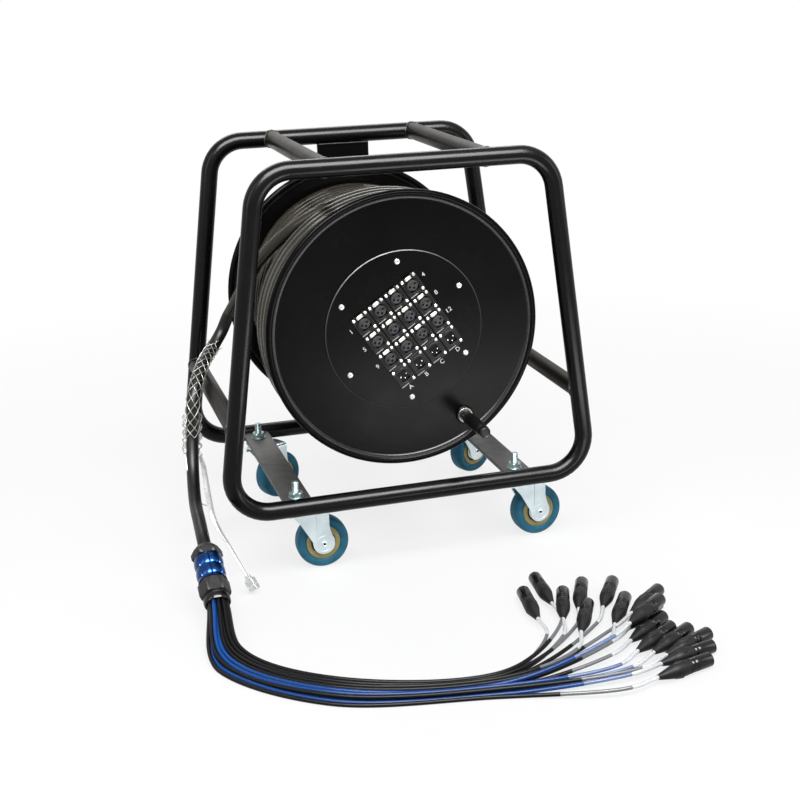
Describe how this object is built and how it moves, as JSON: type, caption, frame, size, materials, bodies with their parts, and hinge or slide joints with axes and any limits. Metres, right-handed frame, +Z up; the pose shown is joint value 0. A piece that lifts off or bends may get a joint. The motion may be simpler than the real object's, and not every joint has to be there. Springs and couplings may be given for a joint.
{
  "type": "stage box snake",
  "caption": "Multicore audio cable on a hand-cranked drum in a wheeled tube frame, with a socket panel on the drum and a free tail that fans out into plugs.",
  "frame": {"origin": "on the floor below the middle of the reel's box, measured without the free cable", "axes": "+X to the right seen from the panel's side, +Y back along the drum's axle, +Z up"},
  "size_m": [0.5992, 0.7897, 0.577],
  "materials": {
    "black_paint": "satin powder coat",
    "black_sheet": "satin powder coat",
    "steel": "machined",
    "zinc": "zinc plated",
    "blue_tyre": "matt blue rubber",
    "cable_jacket": "semi-gloss",
    "free_jacket": "semi-gloss",
    "socket_black": "satin",
    "tab_silver": "satin",
    "grip_rubber": "matt",
    "sleeve_wire": "woven wire",
    "gland_black": "moulded",
    "gland_blue": "blue anodised",
    "tail_jacket": "satin"
  },
  "bodies": {
    "frame": {"front_hoop": "black_paint", "rear_hoop": "black_paint", "top_spacer_left": "black_paint", "top_spacer_right": "black_paint", "side_spacer_left": "black_paint", "side_spacer_right": "black_paint", "caster_bar_left": "black_sheet", "caster_bar_right": "black_sheet", "support_plate": "black_sheet", "axle_shaft": "steel", "axle_collar": "steel", "axle_nut": "steel", "caster_stem_front_left": "zinc", "caster_nut_front_left": "zinc", "caster_stem_front_right": "zinc", "caster_nut_front_right": "zinc", "caster_stem_rear_left": "zinc", "caster_nut_rear_left": "zinc", "caster_stem_rear_right": "zinc", "caster_nut_rear_right": "zinc", "free_cable": "free_jacket", "cable_grip": "sleeve_wire", "gland_nut_upper": "gland_black", "gland_body": "gland_blue", "gland_nut_lower": "gland_black", "fan_out_tails": "tail_jacket", "grip_strap": "sleeve_wire"},
    "drum": {"front_flange": "black_sheet", "rear_flange": "black_sheet", "drum_barrel": "black_sheet", "drum_hub": "steel", "wound_core": "cable_jacket", "wound_cable": "cable_jacket", "stage_panel": "black_sheet", "send_sockets_1": "socket_black", "send_sockets_2": "socket_black", "send_sockets_3": "socket_black", "return_sockets": "socket_black", "crank_bracket": "steel"},
    "crank_grip": {"crank_grip": "grip_rubber"},
    "fork_front_left": {"caster_fork_front_left": "zinc"},
    "wheel_front_left": {"caster_wheel_front_left": "blue_tyre"},
    "fork_front_right": {"caster_fork_front_right": "zinc"},
    "wheel_front_right": {"caster_wheel_front_right": "blue_tyre"},
    "fork_rear_left": {"caster_fork_rear_left": "zinc"},
    "wheel_rear_left": {"caster_wheel_rear_left": "blue_tyre"},
    "fork_rear_right": {"caster_fork_rear_right": "zinc"},
    "wheel_rear_right": {"caster_wheel_rear_right": "blue_tyre"},
    "push_tab_1": {"push_tab_1": "tab_silver"},
    "push_tab_2": {"push_tab_2": "tab_silver"},
    "push_tab_3": {"push_tab_3": "tab_silver"},
    "push_tab_4": {"push_tab_4": "tab_silver"},
    "push_tab_5": {"push_tab_5": "tab_silver"},
    "push_tab_6": {"push_tab_6": "tab_silver"},
    "push_tab_7": {"push_tab_7": "tab_silver"},
    "push_tab_8": {"push_tab_8": "tab_silver"},
    "push_tab_9": {"push_tab_9": "tab_silver"},
    "push_tab_10": {"push_tab_10": "tab_silver"},
    "push_tab_11": {"push_tab_11": "tab_silver"},
    "push_tab_12": {"push_tab_12": "tab_silver"}
  },
  "joints": [
    {"name": "drum_spin", "type": "hinge", "parent": "frame", "child": "drum", "pos_m": [0, 0, 0.3315], "axis": [0, 1, 0], "continuous": true},
    {"name": "crank_grip_spin", "type": "hinge", "parent": "drum", "child": "crank_grip", "pos_m": [0.08605, -0.165, 0.19899], "axis": [0, 1, 0], "continuous": true},
    {"name": "swivel_front_left", "type": "hinge", "parent": "frame", "child": "fork_front_left", "pos_m": [-0.163, -0.11185, 0.09], "axis": [0, 0, 1], "continuous": true},
    {"name": "wheel_spin_front_left", "type": "hinge", "parent": "fork_front_left", "child": "wheel_front_left", "pos_m": [-0.129, -0.11185, 0.0375], "axis": [0, 1, 0], "continuous": true},
    {"name": "swivel_front_right", "type": "hinge", "parent": "frame", "child": "fork_front_right", "pos_m": [0.163, -0.11185, 0.09], "axis": [0, 0, 1], "continuous": true},
    {"name": "wheel_spin_front_right", "type": "hinge", "parent": "fork_front_right", "child": "wheel_front_right", "pos_m": [0.19681, -0.1083, 0.0375], "axis": [-0.1045, 0.9945, 0], "continuous": true},
    {"name": "swivel_rear_left", "type": "hinge", "parent": "frame", "child": "fork_rear_left", "pos_m": [-0.163, 0.15415, 0.09], "axis": [0, 0, 1], "continuous": true},
    {"name": "wheel_spin_rear_left", "type": "hinge", "parent": "fork_rear_left", "child": "wheel_rear_left", "pos_m": [-0.13298, 0.17011, 0.0375], "axis": [-0.4695, 0.8829, 0], "continuous": true},
    {"name": "swivel_rear_right", "type": "hinge", "parent": "frame", "child": "fork_rear_right", "pos_m": [0.163, 0.15415, 0.09], "axis": [0, 0, 1], "continuous": true},
    {"name": "wheel_spin_rear_right", "type": "hinge", "parent": "fork_rear_right", "child": "wheel_rear_right", "pos_m": [0.19406, 0.16798, 0.0375], "axis": [-0.4067, 0.9135, 0], "continuous": true},
    {"name": "press_tab_1", "type": "slide", "parent": "drum", "child": "push_tab_1", "axis": [0, 1, 0], "range_m": [0, 0.0012], "stiffness_N_per_m": 600, "springref_m": -0.001},
    {"name": "press_tab_2", "type": "slide", "parent": "drum", "child": "push_tab_2", "axis": [0, 1, 0], "range_m": [0, 0.0012], "stiffness_N_per_m": 600, "springref_m": -0.001},
    {"name": "press_tab_3", "type": "slide", "parent": "drum", "child": "push_tab_3", "axis": [0, 1, 0], "range_m": [0, 0.0012], "stiffness_N_per_m": 600, "springref_m": -0.001},
    {"name": "press_tab_4", "type": "slide", "parent": "drum", "child": "push_tab_4", "axis": [0, 1, 0], "range_m": [0, 0.0012], "stiffness_N_per_m": 600, "springref_m": -0.001},
    {"name": "press_tab_5", "type": "slide", "parent": "drum", "child": "push_tab_5", "axis": [0, 1, 0], "range_m": [0, 0.0012], "stiffness_N_per_m": 600, "springref_m": -0.001},
    {"name": "press_tab_6", "type": "slide", "parent": "drum", "child": "push_tab_6", "axis": [0, 1, 0], "range_m": [0, 0.0012], "stiffness_N_per_m": 600, "springref_m": -0.001},
    {"name": "press_tab_7", "type": "slide", "parent": "drum", "child": "push_tab_7", "axis": [0, 1, 0], "range_m": [0, 0.0012], "stiffness_N_per_m": 600, "springref_m": -0.001},
    {"name": "press_tab_8", "type": "slide", "parent": "drum", "child": "push_tab_8", "axis": [0, 1, 0], "range_m": [0, 0.0012], "stiffness_N_per_m": 600, "springref_m": -0.001},
    {"name": "press_tab_9", "type": "slide", "parent": "drum", "child": "push_tab_9", "axis": [0, 1, 0], "range_m": [0, 0.0012], "stiffness_N_per_m": 600, "springref_m": -0.001},
    {"name": "press_tab_10", "type": "slide", "parent": "drum", "child": "push_tab_10", "axis": [0, 1, 0], "range_m": [0, 0.0012], "stiffness_N_per_m": 600, "springref_m": -0.001},
    {"name": "press_tab_11", "type": "slide", "parent": "drum", "child": "push_tab_11", "axis": [0, 1, 0], "range_m": [0, 0.0012], "stiffness_N_per_m": 600, "springref_m": -0.001},
    {"name": "press_tab_12", "type": "slide", "parent": "drum", "child": "push_tab_12", "axis": [0, 1, 0], "range_m": [0, 0.0012], "stiffness_N_per_m": 600, "springref_m": -0.001}
  ]
}
